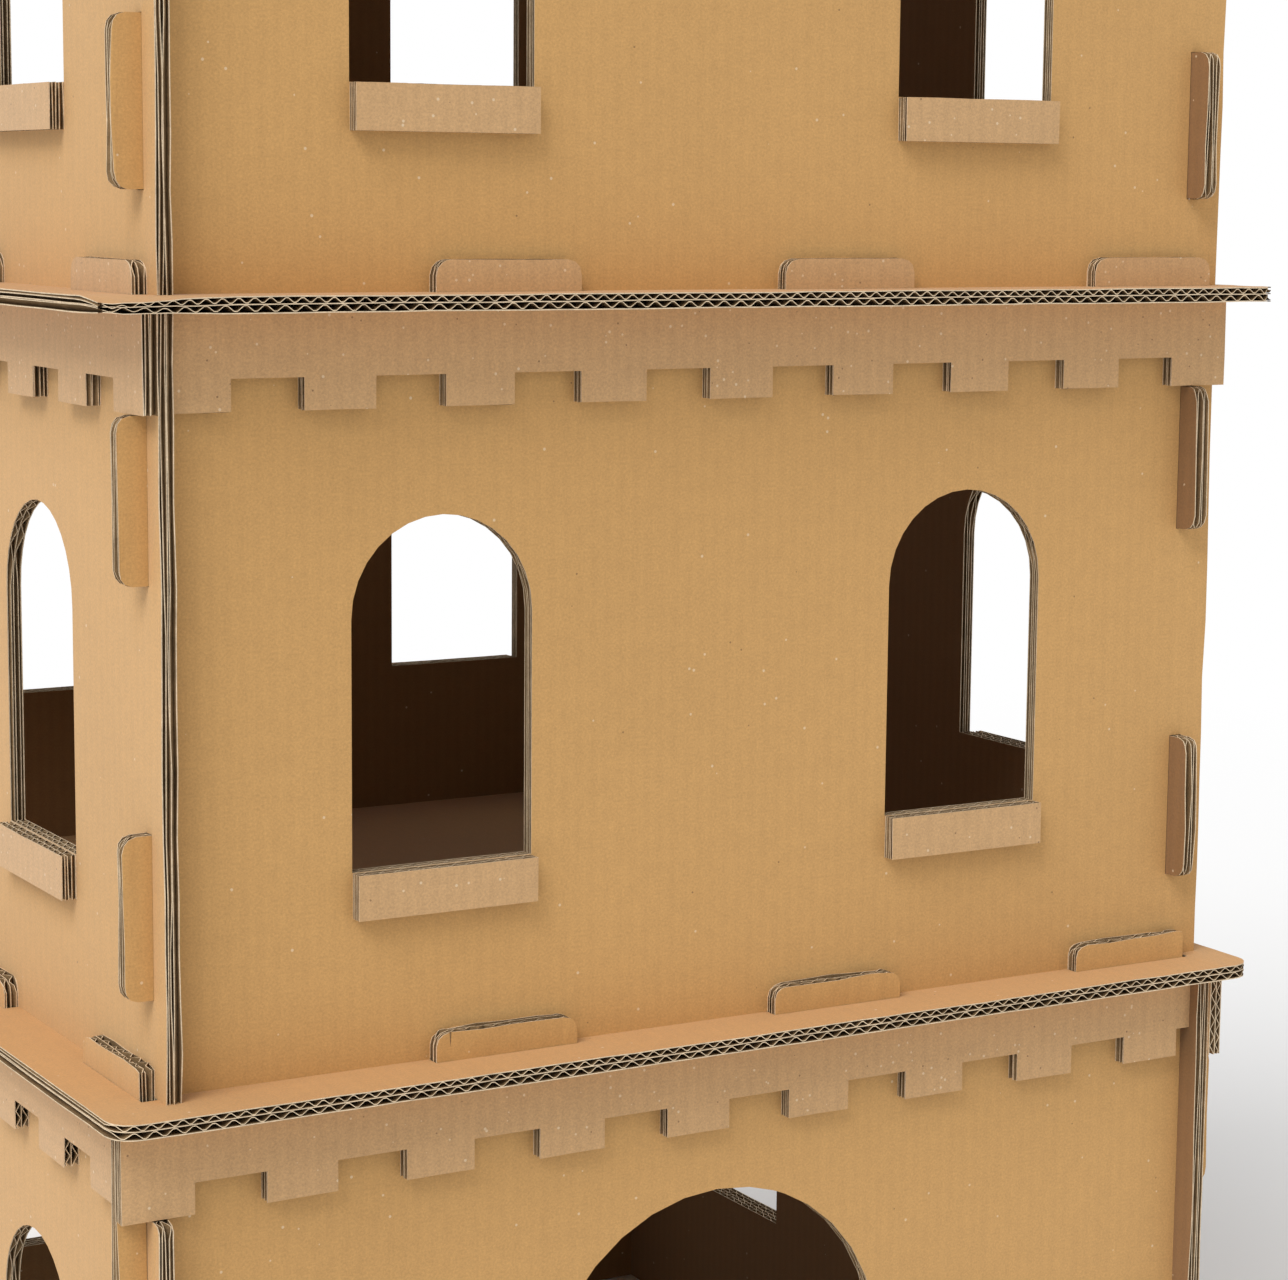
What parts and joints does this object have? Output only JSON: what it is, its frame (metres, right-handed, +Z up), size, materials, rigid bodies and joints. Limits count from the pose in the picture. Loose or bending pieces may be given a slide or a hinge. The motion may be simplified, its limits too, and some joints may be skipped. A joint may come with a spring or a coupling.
{
  "type": "cardboard castle",
  "caption": "Square toy castle of slotted corrugated board with arched windows, a big arched doorway, overhanging decks, toothed friezes and a battlement.",
  "frame": {"origin": "on the floor, under the middle of the decks", "axes": "+Z up, the doorway faces -Y, +X to the right of someone facing the doorway"},
  "size_m": [0.6, 0.6, 1.089],
  "materials": {
    "wall_board": "brown kraft liner on double-wall corrugated board, matte",
    "deck_board": "brown kraft liner on double-wall corrugated board, matte",
    "strip_board": "grey-brown recycled liner with pale flecks, matte"
  },
  "bodies": {
    "root": {"ground_wall_front": "wall_board", "ground_frieze_front": "strip_board", "ground_wall_right": "wall_board", "ground_frieze_right": "strip_board", "ground_sill_right_1": "strip_board", "ground_sill_right_2": "strip_board", "ground_wall_back": "wall_board", "ground_frieze_back": "strip_board", "ground_sill_back_1": "strip_board", "ground_sill_back_2": "strip_board", "ground_wall_left": "wall_board", "ground_frieze_left": "strip_board", "ground_sill_left_1": "strip_board", "ground_sill_left_2": "strip_board", "middle_wall_front": "wall_board", "middle_frieze_front": "strip_board", "middle_sill_front_1": "strip_board", "middle_sill_front_2": "strip_board", "middle_wall_right": "wall_board", "middle_frieze_right": "strip_board", "middle_sill_right_1": "strip_board", "middle_sill_right_2": "strip_board", "middle_wall_back": "wall_board", "middle_frieze_back": "strip_board", "middle_sill_back_1": "strip_board", "middle_sill_back_2": "strip_board", "middle_wall_left": "wall_board", "middle_frieze_left": "strip_board", "middle_sill_left_1": "strip_board", "middle_sill_left_2": "strip_board", "top_wall_front": "wall_board", "top_frieze_front": "strip_board", "top_sill_front_1": "strip_board", "top_sill_front_2": "strip_board", "top_wall_right": "wall_board", "top_frieze_right": "strip_board", "top_sill_right_1": "strip_board", "top_sill_right_2": "strip_board", "top_wall_back": "wall_board", "top_frieze_back": "strip_board", "top_sill_back_1": "strip_board", "top_sill_back_2": "strip_board", "top_wall_left": "wall_board", "top_frieze_left": "strip_board", "top_sill_left_1": "strip_board", "top_sill_left_2": "strip_board", "lower_deck": "deck_board", "upper_deck": "deck_board", "roof_deck": "deck_board", "battlement_front": "wall_board", "battlement_right": "wall_board", "battlement_back": "wall_board", "battlement_left": "wall_board"}
  },
  "joints": []
}
